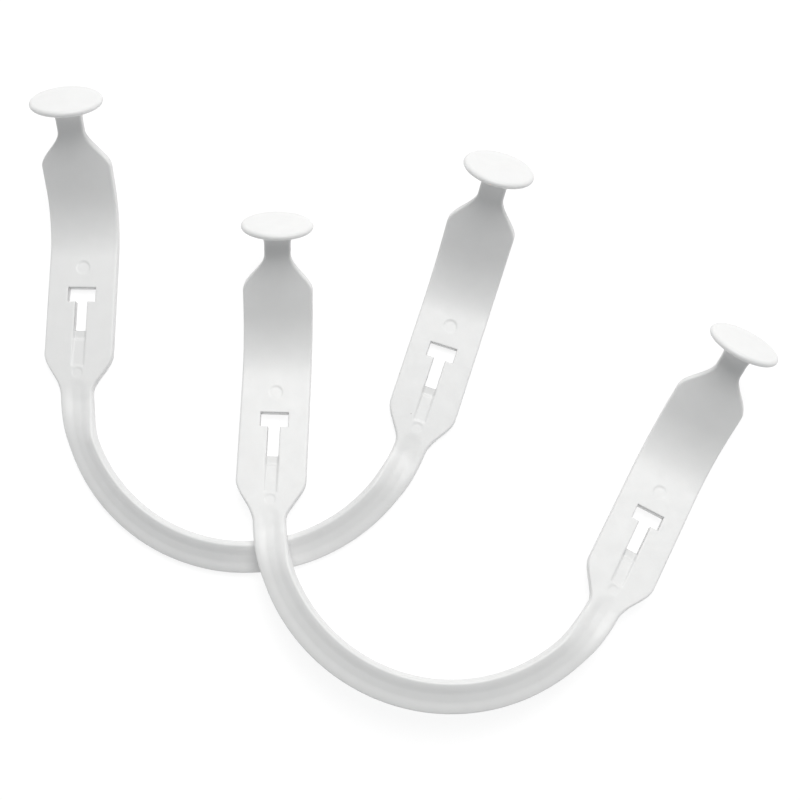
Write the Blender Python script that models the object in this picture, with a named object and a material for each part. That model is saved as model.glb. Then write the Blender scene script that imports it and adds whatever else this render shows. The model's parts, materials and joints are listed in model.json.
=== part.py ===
"""A pair of cheek retractors, one lying across the other.

Each retractor is one springy plastic moulding: a U-shaped bow whose band leans outward like part of
a cone, two flat paddles with a T-shaped slot, two hooks that curve up out of the plane of the bow,
and a round button at each tip.
The moulding is divided into short segments where it flexes, and each segment turns on a hinge
placed in the middle of the band. Metres, +Z up, arms pointing along +Y, buttons at the far end.

A retractor is drawn in its own frame: the middle of the bow is the origin, the arms run along +Y,
the underside is Z = 0. Places along an arm are measured from the end of the round bow.
"""

import math

import bmesh
import bpy
from mathutils import Euler, Matrix, Vector

# Driving dimensions, in metres.
BOW_RADIUS = 0.0395          # centreline of the bow
BAND_WIDTH = 0.0073
THICKNESS = 0.0022           # the same everywhere but the button
BAND_LEAN = math.radians(30.0)   # the band's outer edge is the lower one, level with the paddles
TWIST_LENGTH = 0.0120        # the band turns level over this length, before the paddle starts
PADDLE_WIDTH = 0.0156
PADDLE_FLAT_LENGTH = 0.0290  # from the end of the bow to where the hook starts to curve
NECK_WIDTH = 0.0058          # narrow stem under the button
HOOK_RADIUS = 0.0222
HOOK_ANGLE = math.radians(46.0)
STEM_LENGTH = 0.0195         # straight stretch from the end of the curve to the button
BUTTON_DIAMETER = 0.0158
BUTTON_THICKNESS = 0.0020
BUTTON_RIM = 0.0009          # radius of the button's rounded rim
BUTTON_BOSS = 0.0010         # height of the flared foot under the button

CHANNEL_WIDTH = 0.0034       # shallow channel along the top of the bow
CHANNEL_DEPTH = 0.0005
CHANNEL_END = -0.0003        # the channel's round end, just short of the end of the bow
BLADE_START = -0.0030        # the band widens into the paddle from here
BLADE_LENGTH = 0.0094
SHOULDER_LENGTH = 0.0085     # the paddle narrows to the stem over this length
SHOULDER_TO_BUTTON = 0.0057  # plain stem between the shoulders and the button

SLOT_BAR_WIDTH = 0.0063      # crossbar of the T, across the paddle
SLOT_BAR_LENGTH = 0.0033
SLOT_STEM_WIDTH = 0.0027
SLOT_STEM_LENGTH = 0.0069
SLOT_START = 0.0117          # foot of the T
RAMP_LENGTH = 0.0082         # groove that runs up from the slot's foot towards the bow
RAMP_DEPTH = 0.0012
EJECTOR_MARK_DIAMETER = 0.0034
EJECTOR_MARK_DEPTH = 0.00015
EJECTOR_MARK_GAP = 0.0047    # centre of the mark beyond the T's crossbar

# Each arm's lean away from the middle line. The four differ a little, as flexed mouldings do.
SPLAY = {
    ("lower", "left"): math.radians(7.0),
    ("lower", "right"): math.radians(10.5),
    ("upper", "left"): math.radians(13.3),
    ("upper", "right"): math.radians(13.7),
}

# Where the segments meet.
BOW_MIDDLE_HALF_ANGLE = math.radians(28.0)
BOW_SIDE_END_ANGLE = math.radians(56.0)
PADDLE_START = -0.0040
FLEX_GAP = 0.0004            # between segments that turn against each other
SEAM_GAP = 0.0003            # between segments that stay together

# How the pair lies.
LOWER_TURN = math.radians(-7.6)
UPPER_TURN = math.radians(-14.6)
UPPER_OFFSET = Vector((0.0403, -0.0288))   # from the lower bow's middle to the upper bow's middle
RESTING_CLEARANCE = 0.0003                 # between the upper retractor and the band under it
STEEPEST_TILT = math.radians(30.0)         # the upper retractor's tilt is searched for up to this

SIDES = {"left": -1.0, "right": 1.0}
ARC_STEP = math.radians(4.0)
WIDTH_STEPS = 10             # stations where the moulding widens or narrows
RIM_STEPS = 4
BUTTON_SEGMENTS = 32
MARK_SEGMENTS = 24
LIE_STEP = 0.0003            # how finely the lie of the upper retractor is worked out
LIE_ROUNDS = 16
CUT_OVERSHOOT = 0.0010       # how far a cutter passes the faces that it cuts

PLASTIC_ROUGHNESS = 0.38
PLASTIC_SHADE = {"lower": 0.80, "upper": 0.82}
BLUE_TINT = 1.01             # the white is very slightly cold
SMOOTH_ANGLE = math.radians(35.0)

# ---------------------------------------------------------------- the shape of one arm


def arm_length():
    """Length from the end of the bow to the foot of the button."""
    return PADDLE_FLAT_LENGTH + HOOK_RADIUS * HOOK_ANGLE + STEM_LENGTH


def ease(value, start, end):
    """Smooth step from 0 at start to 1 at end."""
    share = min(max((value - start) / (end - start), 0.0), 1.0)
    return share * share * (3.0 - 2.0 * share)


def strip_width(u):
    """Width of the moulding at a place u along the arm; negative u is on the bow."""
    shoulder_end = arm_length() - SHOULDER_TO_BUTTON
    widening = ease(u, BLADE_START, BLADE_START + BLADE_LENGTH)
    narrowing = ease(u, shoulder_end - SHOULDER_LENGTH, shoulder_end)
    return BAND_WIDTH + (PADDLE_WIDTH - BAND_WIDTH) * widening - (PADDLE_WIDTH - NECK_WIDTH) * narrowing


def band_lean(u):
    """How far the band leans outward at a place u; the paddle and all beyond it are level."""
    return BAND_LEAN * (1.0 - ease(u, PADDLE_START - TWIST_LENGTH, PADDLE_START))


def arm_frame(retractor, side, u):
    """Point on the underside's centreline, with the forward, outward and upward directions."""
    sign = SIDES[side]
    lean = band_lean(u)
    sweep = math.pi / 2 - SPLAY[retractor, side]
    angle = min(sweep, sweep + u / BOW_RADIUS)
    point = Vector((sign * BOW_RADIUS * math.sin(angle), BOW_RADIUS * (1.0 - math.cos(angle)), 0.0))
    forward = Vector((sign * math.cos(angle), math.sin(angle), 0.0))
    level_outward = Vector((sign * math.sin(angle), -math.cos(angle), 0.0))
    vertical = Vector((0.0, 0.0, 1.0))
    outward = level_outward * math.cos(lean) - vertical * math.sin(lean)
    upward = vertical * math.cos(lean) + level_outward * math.sin(lean)
    # The section turns about its own centre, and its outer lower edge stays at Z = 0.
    centre_height = (strip_width(u) * math.sin(lean) + THICKNESS * math.cos(lean)) / 2
    point += vertical * centre_height - upward * THICKNESS / 2
    point += forward * min(max(u, 0.0), PADDLE_FLAT_LENGTH)
    if u > PADDLE_FLAT_LENGTH:
        bend = min((u - PADDLE_FLAT_LENGTH) / HOOK_RADIUS, HOOK_ANGLE)
        point += forward * HOOK_RADIUS * math.sin(bend) + upward * HOOK_RADIUS * (1.0 - math.cos(bend))
        straight = max(u - PADDLE_FLAT_LENGTH - HOOK_RADIUS * HOOK_ANGLE, 0.0)
        forward, upward = (
            forward * math.cos(bend) + upward * math.sin(bend),
            upward * math.cos(bend) - forward * math.sin(bend),
        )
        point += forward * straight
    return point, forward, outward, upward


def bow_place(retractor, side, angle):
    """The place u of a point on the bow, given its angle from the middle of the bow."""
    return (angle - (math.pi / 2 - SPLAY[retractor, side])) * BOW_RADIUS


def stations(start, end, step):
    """Evenly spaced places from start to end, no further apart than step."""
    count = max(1, math.ceil(abs(end - start) / step - 1e-9))
    return [start + (end - start) * i / count for i in range(count + 1)]


# ---------------------------------------------------------------- mesh helpers


def band_section(half_width):
    """Outline across the bow: a flat band with the channel let into its top."""
    half_channel = CHANNEL_WIDTH / 2
    floor = THICKNESS - CHANNEL_DEPTH
    return [
        (-half_width, 0.0), (half_width, 0.0), (half_width, THICKNESS), (half_channel, THICKNESS),
        (half_channel, floor), (-half_channel, floor), (-half_channel, THICKNESS), (-half_width, THICKNESS),
    ]


def plain_section(half_width):
    """Outline across the paddle, the hook and the stem."""
    return [(-half_width, 0.0), (half_width, 0.0), (half_width, THICKNESS), (-half_width, THICKNESS)]


def loft(frames, sections):
    """A closed solid through a row of outlines."""
    mesh = bmesh.new()
    rings = []
    for (point, _forward, outward, upward), section in zip(frames, sections):
        places = [point + outward * across + upward * height for across, height in section]
        rings.append([mesh.verts.new(place) for place in places])
    for ring, following in zip(rings, rings[1:]):
        for i in range(len(ring)):
            j = (i + 1) % len(ring)
            mesh.faces.new((ring[i], ring[j], following[j], following[i]))
    mesh.faces.new(rings[0])
    mesh.faces.new(list(reversed(rings[-1])))
    bmesh.ops.recalc_face_normals(mesh, faces=mesh.faces)
    return mesh


def prism(outline, bottoms, tops):
    """A closed solid between two outlines with the same plan, given each corner's two heights."""
    mesh = bmesh.new()
    low = [mesh.verts.new((x, y, z)) for (x, y), z in zip(outline, bottoms)]
    high = [mesh.verts.new((x, y, z)) for (x, y), z in zip(outline, tops)]
    for i in range(len(outline)):
        j = (i + 1) % len(outline)
        mesh.faces.new((low[i], low[j], high[j], high[i]))
    mesh.faces.new(list(reversed(low)))
    mesh.faces.new(high)
    bmesh.ops.recalc_face_normals(mesh, faces=mesh.faces)
    return mesh


def turned(profile, segments):
    """A closed solid turned about Z from (radius, height) points that start and end on the axis."""
    mesh = bmesh.new()
    poles = [mesh.verts.new((0.0, 0.0, profile[0][1])), mesh.verts.new((0.0, 0.0, profile[-1][1]))]
    rings = []
    for radius, height in profile[1:-1]:
        angles = [2.0 * math.pi * i / segments for i in range(segments)]
        rings.append([mesh.verts.new((radius * math.cos(a), radius * math.sin(a), height)) for a in angles])
    for i in range(segments):
        j = (i + 1) % segments
        mesh.faces.new((poles[0], rings[0][j], rings[0][i]))
        mesh.faces.new((poles[1], rings[-1][i], rings[-1][j]))
        for ring, following in zip(rings, rings[1:]):
            mesh.faces.new((ring[i], ring[j], following[j], following[i]))
    bmesh.ops.recalc_face_normals(mesh, faces=mesh.faces)
    return mesh


def arc_points(centre, radius, start, end, count):
    """Points on a quarter or half round, for a turned profile."""
    points = []
    for i in range(count + 1):
        angle = math.radians(start + (end - start) * i / count)
        points.append((centre[0] + radius * math.cos(angle), centre[1] + radius * math.sin(angle)))
    return points


def add_object(name, mesh, parent, pivot, material):
    """Link a mesh as a named object whose origin is its pivot, under the empty at that pivot."""
    bmesh.ops.translate(mesh, vec=-pivot, verts=mesh.verts)
    data = bpy.data.meshes.new(name)
    mesh.to_mesh(data)
    mesh.free()
    part = bpy.data.objects.new(name, data)
    bpy.context.collection.objects.link(part)
    part.parent = parent
    if material:
        data.materials.append(material)
    return part


def add_empty(name, parent, location):
    """An empty that carries the pieces turning together."""
    empty = bpy.data.objects.new(name, None)
    empty.empty_display_size = BAND_WIDTH
    bpy.context.collection.objects.link(empty)
    empty.parent = parent
    empty.location = location
    return empty


def cut(part, name, mesh, pivot):
    """Cut a part with a mesh that is kept as a hidden guide."""
    cutter = add_object(name, mesh, part.parent, pivot, None)
    cutter.hide_render = True
    cutter.display_type = "WIRE"
    boolean = part.modifiers.new(name, "BOOLEAN")
    boolean.operation = "DIFFERENCE"
    boolean.object = cutter


def white_plastic(name, shade):
    """White flexible plastic with a soft gloss."""
    material = bpy.data.materials.new(name)
    material.use_nodes = True
    surface = material.node_tree.nodes["Principled BSDF"]
    surface.inputs["Base Color"].default_value = (shade, shade, shade * BLUE_TINT, 1.0)
    surface.inputs["Roughness"].default_value = PLASTIC_ROUGHNESS
    surface.inputs["Metallic"].default_value = 0.0
    return material


# ---------------------------------------------------------------- the segments


def bow_segment(retractor, side, start_angle, end_angle):
    """A stretch of the channelled band between two angles on one side of the bow."""
    angles = stations(start_angle, end_angle, ARC_STEP)
    frames = [arm_frame(retractor, side, bow_place(retractor, side, a)) for a in angles]
    return loft(frames, [band_section(BAND_WIDTH / 2)] * len(frames))


def bow_middle(retractor):
    """The middle of the bow, which is round to both sides of the middle line."""
    end = BOW_MIDDLE_HALF_ANGLE - FLEX_GAP / 2 / BOW_RADIUS
    half = stations(0.0, end, ARC_STEP)
    angles = [-a for a in reversed(half[1:])] + half
    frames = [arm_frame(retractor, "right", bow_place(retractor, "right", a)) for a in angles]
    return loft(frames, [band_section(BAND_WIDTH / 2)] * len(frames))


def neck(retractor, side):
    """The last of the band, up to where the paddle bends against it."""
    start = bow_place(retractor, side, BOW_SIDE_END_ANGLE) + FLEX_GAP / 2
    places = stations(start, PADDLE_START - FLEX_GAP / 2, ARC_STEP * BOW_RADIUS)
    frames = [arm_frame(retractor, side, u) for u in places]
    return loft(frames, [band_section(BAND_WIDTH / 2)] * len(frames))


def paddle(retractor, side):
    """The flat paddle, before its slot, groove and marks are cut."""
    start = PADDLE_START + FLEX_GAP / 2
    blade = stations(max(start, BLADE_START), BLADE_START + BLADE_LENGTH, BLADE_LENGTH / WIDTH_STEPS)
    places = [start] + [u for u in blade if u > start] + [PADDLE_FLAT_LENGTH - SEAM_GAP / 2]
    frames = [arm_frame(retractor, side, u) for u in places]
    return loft(frames, [plain_section(strip_width(u) / 2) for u in places])


def hook(retractor, side):
    """The plate that curves up and narrows to the stem."""
    curve_end = PADDLE_FLAT_LENGTH + HOOK_RADIUS * HOOK_ANGLE
    shoulder_end = arm_length() - SHOULDER_TO_BUTTON
    shoulder_start = shoulder_end - SHOULDER_LENGTH
    stem_end = arm_length() - BUTTON_BOSS - SEAM_GAP
    curve = stations(PADDLE_FLAT_LENGTH + SEAM_GAP / 2, curve_end, ARC_STEP * HOOK_RADIUS)
    shoulder = stations(shoulder_start, shoulder_end, SHOULDER_LENGTH / WIDTH_STEPS)
    places = sorted(set(curve + shoulder + [stem_end]))
    frames = [arm_frame(retractor, side, u) for u in places]
    return loft(frames, [plain_section(strip_width(u) / 2) for u in places])


def button(retractor, side):
    """The round button: a flared foot on the stem and a disc with a rounded rim."""
    foot = NECK_WIDTH / 2
    inset = BUTTON_DIAMETER / 2 - BUTTON_RIM
    profile = [(0.0, -BUTTON_BOSS)]
    profile += arc_points((foot + BUTTON_BOSS, -BUTTON_BOSS), BUTTON_BOSS, 180.0, 90.0, RIM_STEPS)
    profile += arc_points((inset, BUTTON_RIM), BUTTON_RIM, -90.0, 0.0, RIM_STEPS)
    profile += arc_points((inset, BUTTON_THICKNESS - BUTTON_RIM), BUTTON_RIM, 0.0, 90.0, RIM_STEPS)
    profile.append((0.0, BUTTON_THICKNESS))
    point, forward, outward, upward = arm_frame(retractor, side, arm_length())
    centre = point + upward * THICKNESS / 2
    across = outward.cross(forward)
    turn = Matrix((outward, across, forward)).transposed().to_4x4()
    mesh = turned(profile, BUTTON_SEGMENTS)
    bmesh.ops.transform(mesh, matrix=Matrix.Translation(centre) @ turn, verts=mesh.verts)
    bmesh.ops.recalc_face_normals(mesh, faces=mesh.faces)
    return mesh


# ---------------------------------------------------------------- cuts in the paddle


def on_paddle(retractor, side, outline, bottoms, tops):
    """A prism whose plan is given as (across, along the arm) on a flat paddle."""
    mesh = prism(outline, bottoms, tops)
    point, forward, outward, upward = arm_frame(retractor, side, 0.0)
    turn = Matrix((outward, forward, upward)).transposed().to_4x4()
    bmesh.ops.transform(mesh, matrix=Matrix.Translation(point) @ turn, verts=mesh.verts)
    bmesh.ops.recalc_face_normals(mesh, faces=mesh.faces)
    return mesh


def slot_cutter(retractor, side):
    """The T-shaped slot, its crossbar towards the hook."""
    stem = SLOT_STEM_WIDTH / 2
    bar = SLOT_BAR_WIDTH / 2
    foot = SLOT_START
    shoulder = SLOT_START + SLOT_STEM_LENGTH
    head = shoulder + SLOT_BAR_LENGTH
    outline = [(-stem, foot), (stem, foot), (stem, shoulder), (bar, shoulder)]
    outline += [(bar, head), (-bar, head), (-bar, shoulder), (-stem, shoulder)]
    low = [-CUT_OVERSHOOT] * len(outline)
    high = [THICKNESS + CUT_OVERSHOOT] * len(outline)
    return on_paddle(retractor, side, outline, low, high)


def ramp_cutter(retractor, side):
    """The groove that slopes down into the foot of the slot."""
    half = SLOT_STEM_WIDTH / 2
    slope = RAMP_DEPTH / RAMP_LENGTH
    start = SLOT_START - RAMP_LENGTH
    end = SLOT_START + CUT_OVERSHOOT
    outline = [(-half, start), (half, start), (half, end), (-half, end)]
    depth_at_end = slope * (end - start)
    low = [THICKNESS, THICKNESS, THICKNESS - depth_at_end, THICKNESS - depth_at_end]
    high = [THICKNESS + CUT_OVERSHOOT] * 4
    return on_paddle(retractor, side, outline, low, high)


def channel_end_cutter(retractor, side):
    """The rounded end of the bow's channel, where the band starts to widen."""
    half = CHANNEL_WIDTH / 2
    start = PADDLE_START - CUT_OVERSHOOT
    centre = CHANNEL_END - half
    outline = [(-half, start), (half, start)]
    outline += arc_points((0.0, centre), half, 0.0, 180.0, MARK_SEGMENTS // 2)
    low = [THICKNESS - CHANNEL_DEPTH] * len(outline)
    high = [THICKNESS + CUT_OVERSHOOT] * len(outline)
    return on_paddle(retractor, side, outline, low, high)


def ejector_mark_cutter(retractor, side):
    """The shallow round mark that the mould's ejector pin leaves."""
    centre = SLOT_START + SLOT_STEM_LENGTH + SLOT_BAR_LENGTH + EJECTOR_MARK_GAP
    outline = arc_points((0.0, centre), EJECTOR_MARK_DIAMETER / 2, 0.0, 360.0, MARK_SEGMENTS)[:-1]
    low = [THICKNESS - EJECTOR_MARK_DEPTH] * len(outline)
    high = [THICKNESS + CUT_OVERSHOOT] * len(outline)
    return on_paddle(retractor, side, outline, low, high)


PADDLE_CUTS = {
    "slot": slot_cutter,
    "ramp": ramp_cutter,
    "channel_end": channel_end_cutter,
    "ejector_mark": ejector_mark_cutter,
}

# ---------------------------------------------------------------- assembly


def half_height_point(retractor, side, u):
    """A hinge point: the centreline at half the thickness."""
    point, _forward, _outward, upward = arm_frame(retractor, side, u)
    return point + upward * THICKNESS / 2


def build_side(retractor, side, root, material):
    """One arm: bow side, neck, and the paddle, hook and button that move together."""
    bow_pivot = half_height_point(retractor, side, bow_place(retractor, side, BOW_MIDDLE_HALF_ANGLE))
    neck_pivot = half_height_point(retractor, side, bow_place(retractor, side, BOW_SIDE_END_ANGLE))
    arm_pivot = half_height_point(retractor, side, PADDLE_START)
    bow_hinge = add_empty(f"{retractor}_{side}_bow_hinge", root, bow_pivot)
    neck_hinge = add_empty(f"{retractor}_{side}_neck_hinge", bow_hinge, neck_pivot - bow_pivot)
    arm_hinge = add_empty(f"{retractor}_{side}_arm_hinge", neck_hinge, arm_pivot - neck_pivot)

    half_gap = FLEX_GAP / 2 / BOW_RADIUS
    side_mesh = bow_segment(retractor, side, BOW_MIDDLE_HALF_ANGLE + half_gap, BOW_SIDE_END_ANGLE - half_gap)
    add_object(f"{retractor}_bow_{side}", side_mesh, bow_hinge, bow_pivot, material)
    add_object(f"{retractor}_neck_{side}", neck(retractor, side), neck_hinge, neck_pivot, material)
    plate = add_object(f"{retractor}_paddle_{side}", paddle(retractor, side), arm_hinge, arm_pivot, material)
    for name, make_cutter in PADDLE_CUTS.items():
        cut(plate, f"{retractor}_{side}_{name}_cutter", make_cutter(retractor, side), arm_pivot)
    add_object(f"{retractor}_hook_{side}", hook(retractor, side), arm_hinge, arm_pivot, material)
    disc = add_object(f"{retractor}_button_{side}", button(retractor, side), arm_hinge, arm_pivot, material)
    disc.data.shade_smooth()
    disc.data.set_sharp_from_angle(angle=SMOOTH_ANGLE)


def build_retractor(retractor, pair):
    """One whole moulding, under an empty at the middle of its bow."""
    material = white_plastic(f"{retractor}_white_plastic", PLASTIC_SHADE[retractor])
    root = add_empty(f"{retractor}_retractor", pair, (0.0, 0.0, 0.0))
    add_object(f"{retractor}_bow_middle", bow_middle(retractor), root, Vector(), material)
    for side in SIDES:
        build_side(retractor, side, root, material)
    return root


def lower_band_top(spot):
    """Height of the lower bow's top over a spot in its own plan, or minus infinity beside the band."""
    from_centre = spot - Vector((0.0, BOW_RADIUS))
    rise = math.sin(BAND_LEAN)
    run = math.cos(BAND_LEAN)
    across = (from_centre.length - BOW_RADIUS - THICKNESS / 2 * rise) / run
    if from_centre.y > 0.0 or abs(across) > BAND_WIDTH / 2:
        return -math.inf
    return (BAND_WIDTH / 2 - across) * rise + THICKNESS * run


def underside(side, start, end):
    """Points over the underside of one of the upper retractor's arms, in its own frame."""
    points = []
    for u in stations(start, end, LIE_STEP):
        point, _forward, outward, _upward = arm_frame("upper", side, u)
        half = strip_width(u) / 2
        points += [point + outward * across for across in (-half, -half / 2, 0.0, half / 2, half)]
    return points


def lay_upper(root):
    """Rest the upper retractor's left arm on the lower band, and its paddles' heels on the surface."""
    heels = []
    for side in SIDES:
        heels += underside(side, 0.0, PADDLE_FLAT_LENGTH + HOOK_RADIUS * HOOK_ANGLE)
    crossing = underside("left", -BOW_RADIUS, 0.0)
    to_lower = Matrix.Rotation(-LOWER_TURN, 2)
    level = 0.0
    steep = STEEPEST_TILT
    for _ in range(LIE_ROUNDS):
        tilt = (level + steep) / 2
        turn = Euler((-tilt, 0.0, UPPER_TURN)).to_matrix()
        rise = -min((turn @ heel).z for heel in heels)
        gap = math.inf
        for point in crossing:
            placed = turn @ point
            top = lower_band_top(to_lower @ (placed.to_2d() + UPPER_OFFSET))
            gap = min(gap, placed.z + rise - top)
        if gap > RESTING_CLEARANCE:
            steep = tilt
        else:
            level = tilt
    root.rotation_euler = Euler((-steep, 0.0, UPPER_TURN))
    root.location = (UPPER_OFFSET.x, UPPER_OFFSET.y, rise)


def centre_pair(pair):
    """Move the pair so that the origin is the centre of its footprint, on the surface."""
    bpy.context.view_layer.update()
    corners = []
    for part in bpy.data.objects:
        if part.type == "MESH" and not part.hide_render:
            corners += [part.matrix_world @ vertex.co for vertex in part.data.vertices]
    low = Vector((min(c.x for c in corners), min(c.y for c in corners), min(c.z for c in corners)))
    high = Vector((max(c.x for c in corners), max(c.y for c in corners), 0.0))
    pair.location = (-(low.x + high.x) / 2, -(low.y + high.y) / 2, -low.z)
    bpy.context.view_layer.update()


def main():
    for old in list(bpy.data.objects):
        bpy.data.objects.remove(old, do_unlink=True)
    pair = add_empty("retractor_pair", None, (0.0, 0.0, 0.0))
    lower = build_retractor("lower", pair)
    lower.rotation_euler = Euler((0.0, 0.0, LOWER_TURN))
    lay_upper(build_retractor("upper", pair))
    centre_pair(pair)


main()
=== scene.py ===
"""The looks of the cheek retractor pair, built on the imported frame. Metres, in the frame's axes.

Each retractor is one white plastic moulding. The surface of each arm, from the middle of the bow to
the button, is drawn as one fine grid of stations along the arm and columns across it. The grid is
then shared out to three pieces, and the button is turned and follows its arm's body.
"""

import json
import math

import bpy
import numpy as np
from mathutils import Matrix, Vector


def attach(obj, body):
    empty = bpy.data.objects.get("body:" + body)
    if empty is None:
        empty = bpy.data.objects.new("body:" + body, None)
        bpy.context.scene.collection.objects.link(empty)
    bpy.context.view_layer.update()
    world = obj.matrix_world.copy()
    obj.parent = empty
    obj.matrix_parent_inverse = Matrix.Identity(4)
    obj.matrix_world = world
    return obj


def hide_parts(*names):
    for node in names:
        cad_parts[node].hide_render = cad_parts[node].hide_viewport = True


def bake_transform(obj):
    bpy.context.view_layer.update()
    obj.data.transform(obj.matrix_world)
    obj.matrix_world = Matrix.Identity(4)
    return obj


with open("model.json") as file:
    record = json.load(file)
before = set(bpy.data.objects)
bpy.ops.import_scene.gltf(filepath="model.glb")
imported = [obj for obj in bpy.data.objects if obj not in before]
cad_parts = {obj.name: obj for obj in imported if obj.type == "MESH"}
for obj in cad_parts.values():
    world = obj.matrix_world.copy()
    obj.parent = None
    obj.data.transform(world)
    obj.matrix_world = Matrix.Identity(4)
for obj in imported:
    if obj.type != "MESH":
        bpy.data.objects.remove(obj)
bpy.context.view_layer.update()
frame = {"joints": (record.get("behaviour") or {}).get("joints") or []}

# ---------------------------------------------------------------- sizes of the moulding

BOW_RADIUS = 0.0395
BAND_WIDTH = 0.0073
THICKNESS = 0.0022
BAND_LEAN = math.radians(30.0)   # the band's outer edge is its lower one
TWIST_LENGTH = 0.0120
PADDLE_WIDTH = 0.0156
PADDLE_FLAT_LENGTH = 0.0290
NECK_WIDTH = 0.0058
HOOK_RADIUS = 0.0222
HOOK_ANGLE = math.radians(46.0)
STEM_LENGTH = 0.0195
BUTTON_DIAMETER = 0.0158
BUTTON_THICKNESS = 0.0020
BUTTON_RIM = 0.0009
BUTTON_DOME = 0.00025            # rise of the button's face over its rim

CHANNEL_WIDTH = 0.0034
CHANNEL_DEPTH = 0.00024
CHANNEL_FADE = 0.0050            # the channel grows shallow over this length before its end
CHANNEL_SOFTNESS = 0.0010        # half the width of the channel's sloping sides
CHANNEL_END = -0.0003
FADED_SHARE = 0.6
BLADE_START = -0.0030
BLADE_LENGTH = 0.0094
SHOULDER_LENGTH = 0.0085
SHOULDER_TO_BUTTON = 0.0057

SLOT_BAR_WIDTH = 0.0063
SLOT_BAR_LENGTH = 0.0033
SLOT_STEM_WIDTH = 0.0027
SLOT_STEM_LENGTH = 0.0069
SLOT_START = 0.0117
SLOT_HEAD = SLOT_START + SLOT_STEM_LENGTH + SLOT_BAR_LENGTH
SLOT_RIM = 0.00022               # rounding of the slot's edges
RIM_OFFSETS = (0.0, 0.00004, 0.0001, 0.00022)

RAMP_LENGTH = 0.0082             # groove from the slot's foot towards the bow
RAMP_DEEP_LENGTH = 0.0022        # the pocket at its end, next to the slot
RAMP_STEP_DEPTH = 0.00030        # depth where the pocket at the slot starts
RAMP_POCKET_DEPTH = 0.00060
RAMP_FOOT_DEPTH = 0.00042        # the pocket's floor rises a little towards the slot
RAMP_LIP_DEPTH = 0.00012         # depth of the small step where the groove begins
RAMP_SOFTNESS = 0.00026
RAMP_MARK_DEPTH = 0.00005
RAMP_MARK_PLACE = 0.0019         # faint round mark between the groove and the channel
EJECTOR_MARK_DIAMETER = 0.0034
EJECTOR_MARK_DEPTH = 0.00008
MARK_SOFTNESS = 0.0004
MARK_TILT = 0.9                  # the marks are deeper on the side nearer the button
EJECTOR_MARK_PLACE = SLOT_HEAD + 0.0047

BAND_ROUND = 0.00060             # radius of the long edges
PADDLE_ROUND = 0.00042
STEM_ROUND = 0.00060
FLARE_LENGTH = 0.0034            # where the stem runs out into the button
FLARE_WIDTH = 0.0017
FLARE_THICKNESS = 0.0011
STEM_EMBED = 0.0002              # how far the stem runs into the button

BOW_HINGE_ANGLE = math.radians(28.0)
NECK_HINGE_ANGLE = math.radians(56.0)
ARM_HINGE_PLACE = -0.0040        # the paddle bends from here
BOW_SEAM_ANGLE = (BOW_HINGE_ANGLE + NECK_HINGE_ANGLE) / 2

SIDES = {"left": -1.0, "right": 1.0}
RETRACTORS = ("lower", "upper")
JOINTS = {joint["name"]: joint for joint in frame["joints"]}

# How finely the surface is drawn.
BAND_STEP = 0.0006
PADDLE_STEP = 0.00025
HOOK_STEP = 0.0005
FLARE_STEP = 0.00012
COLUMN_STEP = 0.00022
OUTER_COLUMN_STEP = 0.0004
ROUND_STEPS = 6
BUTTON_SEGMENTS = 96
BUTTON_ARC_STEPS = 10

# ---------------------------------------------------------------- the shape of one arm


def ease(value, start, end):
    """Smooth step from 0 at start to 1 at end."""
    share = np.clip((value - start) / (end - start), 0.0, 1.0)
    return share * share * (3.0 - 2.0 * share)


def arm_length():
    return PADDLE_FLAT_LENGTH + HOOK_RADIUS * HOOK_ANGLE + STEM_LENGTH


def widening(u):
    """0 on the band, 1 on the paddle."""
    return ease(u, BLADE_START, BLADE_START + BLADE_LENGTH)


def narrowing(u):
    """0 on the paddle, 1 on the stem."""
    shoulder_end = arm_length() - SHOULDER_TO_BUTTON
    return ease(u, shoulder_end - SHOULDER_LENGTH, shoulder_end)


def flare(u):
    """0 on the stem, rising in a quarter round to 1 at the button."""
    share = np.clip((u - arm_length() + FLARE_LENGTH) / FLARE_LENGTH, 0.0, 1.0)
    return 1.0 - np.sqrt(1.0 - share * share)


def strip_width(u):
    """Width without the flare, as in the frame."""
    wide = BAND_WIDTH + (PADDLE_WIDTH - BAND_WIDTH) * widening(u)
    return wide - (PADDLE_WIDTH - NECK_WIDTH) * narrowing(u)


def edge_round(u):
    """Radius of the long edges."""
    wide = BAND_ROUND + (PADDLE_ROUND - BAND_ROUND) * widening(u)
    return wide + (STEM_ROUND - PADDLE_ROUND) * narrowing(u)


def retractor_axes(retractor):
    """The frame of a retractor, from its hinges: its origin, and its X, Y and Z axes as columns."""
    left = np.array(JOINTS[f"{retractor}_left_squeeze"]["pos_m"])
    right = np.array(JOINTS[f"{retractor}_right_squeeze"]["pos_m"])
    upward = np.array(JOINTS[f"{retractor}_right_squeeze"]["axis"])
    upward = upward / np.linalg.norm(upward)
    across = right - left
    across = across / np.linalg.norm(across)
    along = np.cross(upward, across)
    hinge_depth = BOW_RADIUS * (1.0 - math.cos(BOW_HINGE_ANGLE))
    hinge_height = (BAND_WIDTH * math.sin(BAND_LEAN) + THICKNESS * math.cos(BAND_LEAN)) / 2
    origin = (left + right) / 2 - along * hinge_depth - upward * hinge_height
    return origin, np.column_stack((across, along, upward))


def sweep_of(retractor, side):
    """Angle of the end of the bow from its middle, from the paddle's hinge."""
    origin, axes = retractor_axes(retractor)
    hinge = axes.T @ (np.array(JOINTS[f"{retractor}_{side}_flex"]["pos_m"]) - origin)
    return math.atan2(abs(hinge[0]), BOW_RADIUS - hinge[1]) - ARM_HINGE_PLACE / BOW_RADIUS


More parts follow.
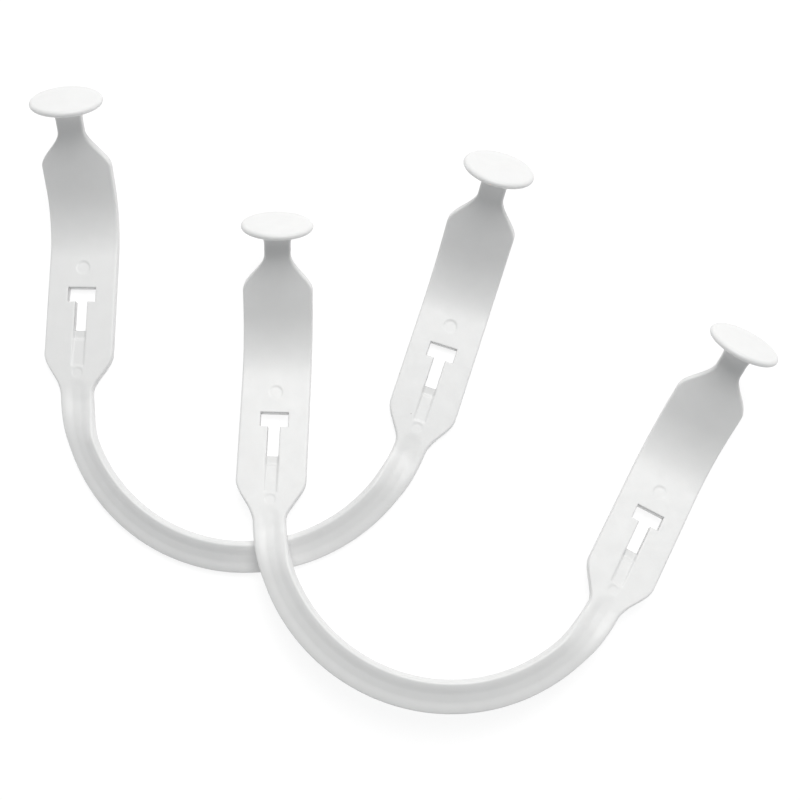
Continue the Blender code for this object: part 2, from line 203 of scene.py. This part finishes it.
def arm_frames(side, sweep, u):
    """For places u along an arm: underside centreline points and forward, outward, upward rows."""
    sign = SIDES[side]
    angle = np.minimum(sweep, sweep + u / BOW_RADIUS)
    flat = np.zeros_like(u)
    vertical = np.array([0.0, 0.0, 1.0])
    forward = np.column_stack((sign * np.cos(angle), np.sin(angle), flat))
    level_outward = np.column_stack((sign * np.sin(angle), -np.cos(angle), flat))
    lean = (BAND_LEAN * (1.0 - ease(u, ARM_HINGE_PLACE - TWIST_LENGTH, ARM_HINGE_PLACE)))[:, None]
    outward = level_outward * np.cos(lean) - vertical * np.sin(lean)
    upward = vertical * np.cos(lean) + level_outward * np.sin(lean)
    centre_height = (strip_width(u)[:, None] * np.sin(lean) + THICKNESS * np.cos(lean)) / 2
    bow = np.column_stack((sign * np.sin(angle), 1.0 - np.cos(angle), flat)) * BOW_RADIUS
    point = bow + vertical * centre_height - upward * THICKNESS / 2
    point = point + forward * np.clip(u, 0.0, PADDLE_FLAT_LENGTH)[:, None]
    bend = np.clip((u - PADDLE_FLAT_LENGTH) / HOOK_RADIUS, 0.0, HOOK_ANGLE)[:, None]
    point = point + forward * HOOK_RADIUS * np.sin(bend) + upward * HOOK_RADIUS * (1.0 - np.cos(bend))
    straight = np.maximum(u - PADDLE_FLAT_LENGTH - HOOK_RADIUS * HOOK_ANGLE, 0.0)[:, None]
    turned_forward = forward * np.cos(bend) + upward * np.sin(bend)
    turned_upward = upward * np.cos(bend) - forward * np.sin(bend)
    return point + turned_forward * straight, turned_forward, outward, turned_upward


# ---------------------------------------------------------------- relief of the top and underside


def slot_distance(along, across):
    """Distance outside the T-shaped slot."""
    across = np.abs(across)
    shoulder = SLOT_START + SLOT_STEM_LENGTH
    stem = np.hypot(
        np.maximum(across - SLOT_STEM_WIDTH / 2, 0.0),
        np.maximum(np.maximum(SLOT_START - along, along - SLOT_HEAD), 0.0),
    )
    bar = np.hypot(
        np.maximum(across - SLOT_BAR_WIDTH / 2, 0.0),
        np.maximum(np.maximum(shoulder - along, along - SLOT_HEAD), 0.0),
    )
    return np.minimum(stem, bar)


def in_slot(along, across):
    return slot_distance(along, across) <= 0.0


def rim_drop(along, across):
    """How far a rounded edge of the slot falls away."""
    inside = np.clip(SLOT_RIM - slot_distance(along, across), 0.0, SLOT_RIM)
    return SLOT_RIM - np.sqrt(SLOT_RIM * SLOT_RIM - inside * inside)


def channel(along, across):
    """The soft trough along the band, with its round end at the paddle."""
    centre = CHANNEL_END - CHANNEL_WIDTH / 2
    from_line = np.hypot(across, np.maximum(along - centre, 0.0))
    half = CHANNEL_WIDTH / 2
    fading = 1.0 - FADED_SHARE * ease(along, CHANNEL_END - CHANNEL_FADE, CHANNEL_END)
    return CHANNEL_DEPTH * fading * (1.0 - ease(from_line, half - CHANNEL_SOFTNESS, half + CHANNEL_SOFTNESS))


def ramp(along, across):
    """The groove into the slot's foot: a small step, a gentle slope, then a shallow pocket."""
    start = SLOT_START - RAMP_LENGTH
    knee = SLOT_START - RAMP_DEEP_LENGTH
    places = [start, knee, knee + 2 * RAMP_SOFTNESS, SLOT_START]
    depth = np.interp(along, places, [RAMP_LIP_DEPTH, RAMP_STEP_DEPTH, RAMP_POCKET_DEPTH, RAMP_FOOT_DEPTH])
    half = SLOT_STEM_WIDTH / 2
    depth = depth * (1.0 - ease(np.abs(across), half - RAMP_SOFTNESS, half + RAMP_SOFTNESS))
    depth = depth * ease(along, start - RAMP_SOFTNESS, start + RAMP_SOFTNESS)
    return np.where(along <= SLOT_START + SLOT_RIM, depth, 0.0)


def round_mark(along, across, place, diameter, depth):
    """A shallow, slightly tilted round recess, as an ejector pin leaves."""
    radius = diameter / 2
    distance = np.hypot(along - place, across)
    tilted = depth * (1.0 + MARK_TILT * (along - place) / radius)
    return tilted * (1.0 - ease(distance, radius - MARK_SOFTNESS, radius))


def top_relief(along, across):
    """How far the top lies under the plain plate."""
    relief = channel(along, across)
    relief = relief + np.maximum(ramp(along, across), rim_drop(along, across))
    relief = relief + round_mark(
        along, across, EJECTOR_MARK_PLACE, EJECTOR_MARK_DIAMETER, EJECTOR_MARK_DEPTH
    )
    return relief + round_mark(
        along, across, RAMP_MARK_PLACE, SLOT_STEM_WIDTH, RAMP_MARK_DEPTH
    )


# ---------------------------------------------------------------- the grid of one arm


def stations(start, end, step):
    """Evenly spaced places from start up to, but without, end."""
    count = max(1, math.ceil(abs(end - start) / step - 1e-9))
    return [start + (end - start) * i / count for i in range(count)]


def row_places(seams, first):
    """Places along an arm: finer on the paddle and at the flare, with rows on every seam and edge."""
    shoulder = SLOT_START + SLOT_STEM_LENGTH
    mark_end = EJECTOR_MARK_PLACE + EJECTOR_MARK_DIAMETER
    rims = [SLOT_START - offset for offset in reversed(RIM_OFFSETS)]
    rims += [shoulder - offset for offset in reversed(RIM_OFFSETS)]
    rims += [SLOT_HEAD + offset for offset in RIM_OFFSETS]
    breaks = sorted([first, *seams, ARM_HINGE_PLACE, *rims, mark_end, arm_length() - FLARE_LENGTH])
    breaks.append(arm_length())
    rows = [first - BAND_STEP]
    for start, end in zip(breaks, breaks[1:]):
        step = HOOK_STEP
        if start < ARM_HINGE_PLACE:
            step = BAND_STEP
        elif start < mark_end:
            step = PADDLE_STEP
        elif start >= arm_length() - FLARE_LENGTH:
            step = FLARE_STEP
        rows += stations(start, end, step)
    return np.array(rows + [arm_length(), arm_length() + STEM_EMBED])


def column_places():
    """Places across the paddle's flat top, with columns on both edges of the slot."""
    stem = SLOT_STEM_WIDTH / 2
    bar = SLOT_BAR_WIDTH / 2
    flat = PADDLE_WIDTH / 2 - PADDLE_ROUND
    half = stations(0.0, stem, COLUMN_STEP) + [stem + offset for offset in RIM_OFFSETS]
    half += stations(stem + SLOT_RIM, bar, COLUMN_STEP)[1:] + [bar + offset for offset in RIM_OFFSETS]
    half += stations(bar + SLOT_RIM, flat, OUTER_COLUMN_STEP)[1:] + [flat]
    return np.array([-place for place in reversed(half[1:])] + half)


def ring_outline(rows, columns):
    """Across and height of every point of the outline at each row."""
    flat_half = PADDLE_WIDTH / 2 - PADDLE_ROUND
    extra = FLARE_WIDTH * flare(rows)
    rounding = edge_round(rows)
    reach = strip_width(rows) / 2 + extra - rounding
    spread = columns[None, :] * (reach / flat_half)[:, None]
    along = np.repeat(rows[:, None], len(columns), axis=1)
    swell = (FLARE_THICKNESS * flare(rows))[:, None]
    top = THICKNESS + swell - top_relief(along, spread)
    bottom = rim_drop(along, spread) - swell
    corners = []
    for sign, high, angles in (
        (1.0, True, [90.0 - 90.0 * k / ROUND_STEPS for k in range(1, ROUND_STEPS + 1)]),
        (1.0, False, [-90.0 * k / ROUND_STEPS for k in range(ROUND_STEPS)]),
        (-1.0, False, [270.0 - 90.0 * k / ROUND_STEPS for k in range(1, ROUND_STEPS + 1)]),
        (-1.0, True, [180.0 - 90.0 * k / ROUND_STEPS for k in range(ROUND_STEPS)]),
    ):
        turn = np.radians(angles)[None, :]
        level = THICKNESS + swell - rounding[:, None] if high else rounding[:, None] - swell
        corners.append((
            sign * reach[:, None] + rounding[:, None] * np.cos(turn),
            level + rounding[:, None] * np.sin(turn),
        ))
    back = spread[:, ::-1]
    across = np.hstack((spread, corners[0][0], corners[1][0], back, corners[2][0], corners[3][0]))
    under = bottom[:, ::-1]
    height = np.hstack((top, corners[0][1], corners[1][1], under, corners[2][1], corners[3][1]))
    return across, height


def open_cells(rows, columns, ring_size):
    """True for the ring's cells that the slot leaves open, on the top and on the underside."""
    along = (rows[1:] + rows[:-1]) / 2
    across = (columns[1:] + columns[:-1]) / 2
    top = in_slot(along[:, None], across[None, :])
    cells = np.zeros((len(along), ring_size), bool)
    cells[:, : len(across)] = top
    under_start = len(columns) + 2 * ROUND_STEPS
    cells[:, under_start : under_start + len(across)] = top[:, ::-1]
    return cells


def grid_normals(points, open_mask, handed):
    """Outward normals at the grid's points, from the cells round each one."""
    following = np.roll(points, -1, axis=1)
    diagonal = following[1:] - points[:-1]
    other = points[1:] - following[:-1]
    cell = np.cross(diagonal, other) * handed
    cell[open_mask] = 0.0
    at_points = np.zeros_like(points)
    for shifted in (cell, np.roll(cell, 1, axis=1)):
        at_points[:-1] += shifted
        at_points[1:] += shifted
    length = np.linalg.norm(at_points, axis=2, keepdims=True)
    return at_points / np.maximum(length, 1e-20)


class Surface:
    """Points and faces, with a normal for every corner where they are given, gathered into one mesh."""

    def __init__(self):
        self.points = []
        self.faces = []
        self.normals = []

    def add_points(self, points):
        start = len(self.points)
        self.points += [tuple(p) for p in points]
        return start

    def add_face(self, corners, normals):
        self.faces.append(corners)
        self.normals += normals

    def to_object(self, name, material):
        mesh = bpy.data.meshes.new(name)
        mesh.from_pydata(self.points, [], self.faces)
        mesh.polygons.foreach_set("use_smooth", [True] * len(mesh.polygons))
        if self.normals:
            mesh.normals_split_custom_set(self.normals)
        mesh.materials.append(material)
        piece = bpy.data.objects.new(name, mesh)
        bpy.context.scene.collection.objects.link(piece)
        return piece


def add_slot_walls(surface, points, cells, first, last, columns, flip):
    """The slot's upright walls, between the rims of its two faces."""
    count = len(columns)
    size = points.shape[1]
    under_last = 2 * count + 2 * ROUND_STEPS - 1

    def below(column):
        return under_last - column

    def wall(row_a, column_a, row_b, column_b):
        corners = [(row_a, column_a), (row_b, column_b), (row_b, below(column_b)), (row_a, below(column_a))]
        places = [points[row, column] for row, column in corners]
        normal = np.cross(places[1] - places[0], places[3] - places[0])
        normal = -flip * normal / np.linalg.norm(normal)
        order = [(row - first) * size + column for row, column in corners]
        if flip > 0:
            order.reverse()
        surface.add_face(order, [tuple(normal)] * 4)

    for row in range(first, last):
        for column in range(count - 1):
            if not cells[row, column]:
                continue
            if not cells[row - 1, column]:
                wall(row, column, row, column + 1)
            if not cells[row + 1, column]:
                wall(row + 1, column + 1, row + 1, column)
            if not cells[row, column - 1]:
                wall(row + 1, column, row, column)
            if not cells[row, column + 1]:
                wall(row, column + 1, row + 1, column + 1)


def arm_piece(name, grid, first, last, material):
    """One closed piece of an arm between two rows of its grid."""
    points, normals, cells, forward, columns, handed = grid
    surface = Surface()
    size = points.shape[1]
    surface.add_points(points[first : last + 1].reshape(-1, 3))
    for row in range(first, last):
        for j in range(size):
            if cells[row, j]:
                continue
            k = (j + 1) % size
            corners = [(row, j), (row, k), (row + 1, k), (row + 1, j)]
            if handed < 0:
                corners.reverse()
            surface.add_face(
                [(r - first) * size + c for r, c in corners],
                [tuple(normals[r, c]) for r, c in corners],
            )
    add_slot_walls(surface, points, cells, first, last, columns, handed)
    for row, outward in ((first, -1.0), (last, 1.0)):
        cap = [(row - first) * size + j for j in range(size)]
        if outward * handed < 0:
            cap.reverse()
        surface.add_face(cap, [tuple(forward[row] * outward)] * size)
    return surface.to_object(name, material)


# ---------------------------------------------------------------- the button


def button_profile():
    """Radius and height of the turned button, from the middle of one face to the other."""
    radius = BUTTON_DIAMETER / 2
    half = BUTTON_THICKNESS / 2
    flat = radius - BUTTON_RIM
    outline = []
    for i in range(BUTTON_ARC_STEPS + 1):
        reach = flat * i / BUTTON_ARC_STEPS
        outline.append((reach, half - BUTTON_DOME * (reach / flat) ** 2))
    edge_half = half - BUTTON_DOME
    for i in range(1, 2 * BUTTON_ARC_STEPS):
        turn = math.pi / 2 - math.pi * i / (2 * BUTTON_ARC_STEPS)
        outline.append((flat + BUTTON_RIM * math.cos(turn), edge_half * math.sin(turn)))
    for i in range(BUTTON_ARC_STEPS, -1, -1):
        reach = flat * i / BUTTON_ARC_STEPS
        outline.append((reach, -half + BUTTON_DOME * (reach / flat) ** 2))
    return outline


def button_piece(name, centre, forward, outward, material):
    """A disc turned about the end of the stem."""
    outline = button_profile()[1:-1]
    third = np.cross(forward, outward)
    surface = Surface()
    rings = []
    for reach, height in outline:
        ring = []
        for j in range(BUTTON_SEGMENTS):
            turn = 2 * math.pi * j / BUTTON_SEGMENTS
            around = outward * math.cos(turn) + third * math.sin(turn)
            ring.append(centre + forward * height + around * reach)
        rings.append(surface.add_points(ring))
    half = BUTTON_THICKNESS / 2
    top = surface.add_points([centre + forward * half])
    bottom = surface.add_points([centre - forward * half])
    for a, b in zip(rings, rings[1:]):
        for j in range(BUTTON_SEGMENTS):
            k = (j + 1) % BUTTON_SEGMENTS
            surface.faces.append([a + j, b + j, b + k, a + k])
    for j in range(BUTTON_SEGMENTS):
        k = (j + 1) % BUTTON_SEGMENTS
        surface.faces.append([top, rings[0] + j, rings[0] + k])
        surface.faces.append([bottom, rings[-1] + k, rings[-1] + j])
    return surface.to_object(name, material)


# ---------------------------------------------------------------- the plastic

PLASTIC_TONES = {"lower": (0.745, 0.744, 0.742), "upper": (0.755, 0.754, 0.751)}
PLASTIC_SEEDS = {"lower": 0.31, "upper": 0.83}
MOTTLE = 0.018
ROUGHNESS = 0.42
ROUGHNESS_SPREAD = 0.06
SUBSURFACE = 0.10
SUBSURFACE_REACH = 0.0006
SPECK_DENSITY = 150.0
SPECK_SIZE = 0.022
SPECK_COLOUR = (0.18, 0.15, 0.13)
GRAIN_HEIGHT = 0.000006
SCRATCH_FINENESS = 9000.0
SCRATCH_DEPTH = 0.000004
PLASTIC_IOR = 1.49
SUBSURFACE_TINT = (1.0, 0.95, 0.9)
SEED_SPREAD = (1.0, 0.37, 0.71)  # the seed shifts each axis of the pattern by a different share
MOTTLE_SCALE = 260.0
GLOSS_SCALE = 420.0
GRAIN_SCALE = 2600.0
SPECK_CHOICE = (0.84, 0.86)      # only cells that draw a number above this hold a speck
SPECK_CORE = 0.6                 # share of the speck's radius that is fully dark
SCRATCH_TURN = 0.6
SCRATCH_STRETCH = 30.0
SCRATCH_CHOICE = (0.66, 0.74)


def plastic(name, tone, seed):
    """White semi-gloss plastic: faint mottling, uneven gloss, fine scratches, a few dark specks."""
    material = bpy.data.materials.new(name)
    material.use_nodes = True
    nodes = material.node_tree.nodes
    links = material.node_tree.links
    shader = nodes["Principled BSDF"]
    shader.inputs["IOR"].default_value = PLASTIC_IOR
    shader.inputs["Subsurface Weight"].default_value = SUBSURFACE
    shader.inputs["Subsurface Radius"].default_value = SUBSURFACE_TINT
    shader.inputs["Subsurface Scale"].default_value = SUBSURFACE_REACH
    place = nodes.new("ShaderNodeTexCoord")
    shifted = nodes.new("ShaderNodeVectorMath")
    shifted.operation = "ADD"
    shifted.inputs[1].default_value = tuple(seed * share for share in SEED_SPREAD)
    links.new(place.outputs["Object"], shifted.inputs[0])

    def noise(scale, detail, roughness):
        node = nodes.new("ShaderNodeTexNoise")
        node.inputs["Scale"].default_value = scale
        node.inputs["Detail"].default_value = detail
        node.inputs["Roughness"].default_value = roughness
        links.new(shifted.outputs["Vector"], node.inputs["Vector"])
        return node.outputs["Fac"]

    def remap(source, low, high, to_low, to_high):
        node = nodes.new("ShaderNodeMapRange")
        for socket, value in zip(("From Min", "From Max", "To Min", "To Max"), (low, high, to_low, to_high)):
            node.inputs[socket].default_value = value
        links.new(source, node.inputs["Value"])
        return node.outputs["Result"]

    def mix(share, first, second):
        node = nodes.new("ShaderNodeMix")
        node.data_type = "RGBA"
        for socket, value in ((0, share), (6, first), (7, second)):
            if isinstance(value, bpy.types.NodeSocket):
                links.new(value, node.inputs[socket])
            else:
                node.inputs[socket].default_value = value
        return node.outputs[2]

    mottle = remap(noise(MOTTLE_SCALE, 3.0, 0.55), 0.35, 0.65, 0.0, 1.0)
    colour = mix(mottle, (*[c * (1.0 - MOTTLE) for c in tone], 1.0), (*tone, 1.0))
    speck_cells = nodes.new("ShaderNodeTexVoronoi")
    speck_cells.inputs["Scale"].default_value = SPECK_DENSITY
    links.new(shifted.outputs["Vector"], speck_cells.inputs["Vector"])
    near = remap(speck_cells.outputs["Distance"], SPECK_SIZE * SPECK_CORE, SPECK_SIZE, 1.0, 0.0)
    chosen = nodes.new("ShaderNodeSeparateColor")
    links.new(speck_cells.outputs["Color"], chosen.inputs["Color"])
    rare = remap(chosen.outputs["Red"], *SPECK_CHOICE, 0.0, 1.0)
    both = nodes.new("ShaderNodeMath")
    both.operation = "MULTIPLY"
    links.new(near, both.inputs[0])
    links.new(rare, both.inputs[1])
    links.new(mix(both.outputs[0], colour, (*SPECK_COLOUR, 1.0)), shader.inputs["Base Color"])
    smoothest = ROUGHNESS - ROUGHNESS_SPREAD
    roughest = ROUGHNESS + ROUGHNESS_SPREAD
    gloss = remap(noise(GLOSS_SCALE, 4.0, 0.6), 0.3, 0.7, smoothest, roughest)
    links.new(gloss, shader.inputs["Roughness"])

    stretched = nodes.new("ShaderNodeMapping")
    stretched.inputs["Rotation"].default_value = (0.0, 0.0, SCRATCH_TURN + seed)
    stretched.inputs["Scale"].default_value = (
        SCRATCH_FINENESS, SCRATCH_FINENESS / SCRATCH_STRETCH, SCRATCH_FINENESS
    )
    links.new(shifted.outputs["Vector"], stretched.inputs["Vector"])
    scratches = nodes.new("ShaderNodeTexNoise")
    scratches.inputs["Scale"].default_value = 1.0
    scratches.inputs["Detail"].default_value = 2.0
    links.new(stretched.outputs["Vector"], scratches.inputs["Vector"])
    scratch_height = remap(scratches.outputs["Fac"], *SCRATCH_CHOICE, 0.0, 1.0)
    grain = nodes.new("ShaderNodeBump")
    grain.inputs["Distance"].default_value = GRAIN_HEIGHT
    grain.inputs["Strength"].default_value = 1.0
    links.new(noise(GRAIN_SCALE, 3.0, 0.6), grain.inputs["Height"])
    scored = nodes.new("ShaderNodeBump")
    scored.inputs["Distance"].default_value = SCRATCH_DEPTH
    scored.invert = True
    links.new(scratch_height, scored.inputs["Height"])
    links.new(grain.outputs["Normal"], scored.inputs["Normal"])
    links.new(scored.outputs["Normal"], shader.inputs["Normal"])
    return material


# ---------------------------------------------------------------- build both retractors

for retractor in RETRACTORS:
    white = plastic(f"{retractor}_white_plastic", PLASTIC_TONES[retractor], PLASTIC_SEEDS[retractor])
    origin, axes = retractor_axes(retractor)
    for side, sign in SIDES.items():
        sweep = sweep_of(retractor, side)
        middle = -sweep * BOW_RADIUS
        bow_seam = (BOW_SEAM_ANGLE - sweep) * BOW_RADIUS
        neck_hinge = (NECK_HINGE_ANGLE - sweep) * BOW_RADIUS
        neck_seam = (neck_hinge + ARM_HINGE_PLACE) / 2
        rows = row_places([bow_seam, neck_seam], middle)
        columns = column_places()
        across, height = ring_outline(rows, columns)
        point, forward, outward, upward = arm_frames(side, sweep, rows)
        local = point[:, None] + outward[:, None] * across[:, :, None] + upward[:, None] * height[:, :, None]
        world = origin + local @ axes.T
        world_forward = forward @ axes.T
        cells = open_cells(rows, columns, across.shape[1])
        normals = grid_normals(world, cells, -sign)
        grid = (world, normals, cells, world_forward, columns, -sign)

        def row_at(place):
            return int(np.argmin(np.abs(rows - place)))

        spring = arm_piece(f"{retractor}_{side}_spring_skin", grid, 1, row_at(bow_seam), white)
        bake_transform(spring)
        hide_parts(f"{retractor}_bow_middle", f"{retractor}_bow_{side}")
        blade = arm_piece(f"{retractor}_{side}_blade_skin", grid, row_at(bow_seam), row_at(neck_seam), white)
        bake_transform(blade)
        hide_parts(f"{retractor}_neck_{side}")
        plate = arm_piece(f"{retractor}_{side}_arm_skin", grid, row_at(neck_seam), len(rows) - 1, white)
        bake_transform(plate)
        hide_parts(f"{retractor}_paddle_{side}", f"{retractor}_hook_{side}")
        end_point, end_forward, end_outward, end_upward = (
            part[0] for part in arm_frames(side, sweep, np.array([arm_length()]))
        )
        disc_centre = end_point + end_upward * THICKNESS / 2 + end_forward * BUTTON_THICKNESS / 2
        disc = button_piece(
            f"{retractor}_{side}_disc_skin", origin + axes @ disc_centre,
            axes @ end_forward, axes @ end_outward, white,
        )
        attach(disc, f"{retractor}_{side}_arm")
        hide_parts(f"{retractor}_button_{side}")

# ---------------------------------------------------------------- table, light and camera

CAMERA_AIM_FROM_HINGE = Vector((0.05726, 0.02838))   # from the lower bow's left hinge, level
CAMERA_DISTANCE = 0.2605
CAMERA_ELEVATION = math.radians(80.48)
CAMERA_LENS = 51.11              # mm, on the default 36 mm sensor
FLOOR_SHADE = 0.25
FLOOR_GLOW = 0.80                # the table is part lit from within, so shadows stay faint
SKY_TINT = (0.94, 0.98, 1.0, 1.0)
SKY_STRENGTH = 0.25
KEY_SIZE = 0.75
KEY_POWER = 7.8
KEY_TINT = (1.0, 0.995, 0.985)
FLOOR_REACH = 3.0                # a round table with a low upright rim as backdrop
BACKDROP_HEIGHT = 0.6
BACKDROP_SEGMENTS = 64

tabletop = bpy.data.materials.new("white_tabletop")
tabletop.use_nodes = True
floor_shader = tabletop.node_tree.nodes["Principled BSDF"]
floor_shader.inputs["Base Color"].default_value = (FLOOR_SHADE, FLOOR_SHADE, FLOOR_SHADE, 1.0)
floor_shader.inputs["Roughness"].default_value = 0.8
floor_shader.inputs["Specular IOR Level"].default_value = 0.1
floor_shader.inputs["Emission Color"].default_value = (1.0, 1.0, 1.0, 1.0)
floor_shader.inputs["Emission Strength"].default_value = FLOOR_GLOW
sweep_points = []
for height in (0.0, BACKDROP_HEIGHT):
    for i in range(BACKDROP_SEGMENTS):
        turn = 2 * math.pi * i / BACKDROP_SEGMENTS
        sweep_points.append((FLOOR_REACH * math.cos(turn), FLOOR_REACH * math.sin(turn), height))
sweep_faces = [list(range(BACKDROP_SEGMENTS))]
for i in range(BACKDROP_SEGMENTS):
    j = (i + 1) % BACKDROP_SEGMENTS
    sweep_faces.append([j, i, i + BACKDROP_SEGMENTS, j + BACKDROP_SEGMENTS])
floor_mesh = bpy.data.meshes.new("studio_floor")
floor_mesh.from_pydata(sweep_points, [], sweep_faces)
floor_mesh.materials.append(tabletop)
floor = bpy.data.objects.new("studio_floor", floor_mesh)
bpy.context.scene.collection.objects.link(floor)

world = bpy.data.worlds.new("soft_studio")
bpy.context.scene.world = world
world.use_nodes = True
background = world.node_tree.nodes["Background"]
background.inputs["Color"].default_value = SKY_TINT
background.inputs["Strength"].default_value = SKY_STRENGTH

key_data = bpy.data.lights.new("key_softbox", "AREA")
key_data.shape = "DISK"
key_data.size = KEY_SIZE
key_data.energy = KEY_POWER
key_data.color = KEY_TINT
key = bpy.data.objects.new("key_softbox", key_data)
bpy.context.scene.collection.objects.link(key)
KEY_DISTANCE = 0.9
KEY_DIRECTION = Vector((0.12, 0.42, 0.88))
key.location = KEY_DIRECTION.normalized() * KEY_DISTANCE
key.rotation_euler = (-key.location).to_track_quat("-Z", "Y").to_euler()

camera_data = bpy.data.cameras.new("product_camera")
camera_data.lens = CAMERA_LENS
camera_data.clip_start = 0.01
camera = bpy.data.objects.new("product_camera", camera_data)
bpy.context.scene.collection.objects.link(camera)
left_hinge = Vector(JOINTS["lower_left_squeeze"]["pos_m"][:2])
camera_target = (left_hinge + CAMERA_AIM_FROM_HINGE).to_3d()
camera.location = camera_target + Vector(
    (0.0, -math.cos(CAMERA_ELEVATION), math.sin(CAMERA_ELEVATION))
) * CAMERA_DISTANCE
camera.rotation_euler = (camera_target - camera.location).to_track_quat("-Z", "Y").to_euler()
bpy.context.scene.camera = camera
bpy.context.scene.view_settings.view_transform = "Standard"
